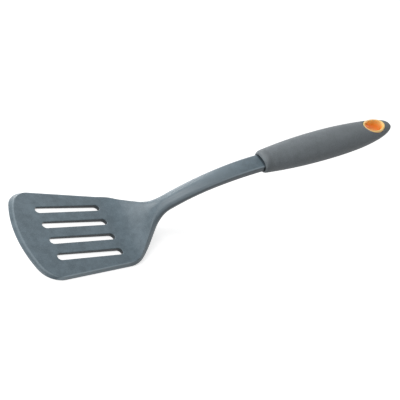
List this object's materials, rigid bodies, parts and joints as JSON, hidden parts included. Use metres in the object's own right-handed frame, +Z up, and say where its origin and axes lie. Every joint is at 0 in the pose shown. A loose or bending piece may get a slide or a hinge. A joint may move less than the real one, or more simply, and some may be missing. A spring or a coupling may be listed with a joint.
{
  "type": "slotted spatula",
  "caption": "Rigid slotted turning spatula: tapered bevelled blade, crowned shoulders and curved neck in grey plastic, soft oval grip with an orange hanging eyelet.",
  "frame": {"origin": "on the blade's flat underside, on the centre line, midway along the slots", "axes": "+X from the front edge towards the handle, +Z up, square to the blade's underside, +Y across the blade"},
  "size_m": [0.3085, 0.078, 0.1289],
  "materials": {
    "head_nylon": "satin moulded grey nylon",
    "core_plastic": "smooth orange plastic",
    "grip_rubber": "matt soft-touch grey"
  },
  "bodies": {
    "root": {"slotted_head": "head_nylon", "handle_core": "core_plastic", "soft_grip": "grip_rubber"}
  },
  "joints": []
}
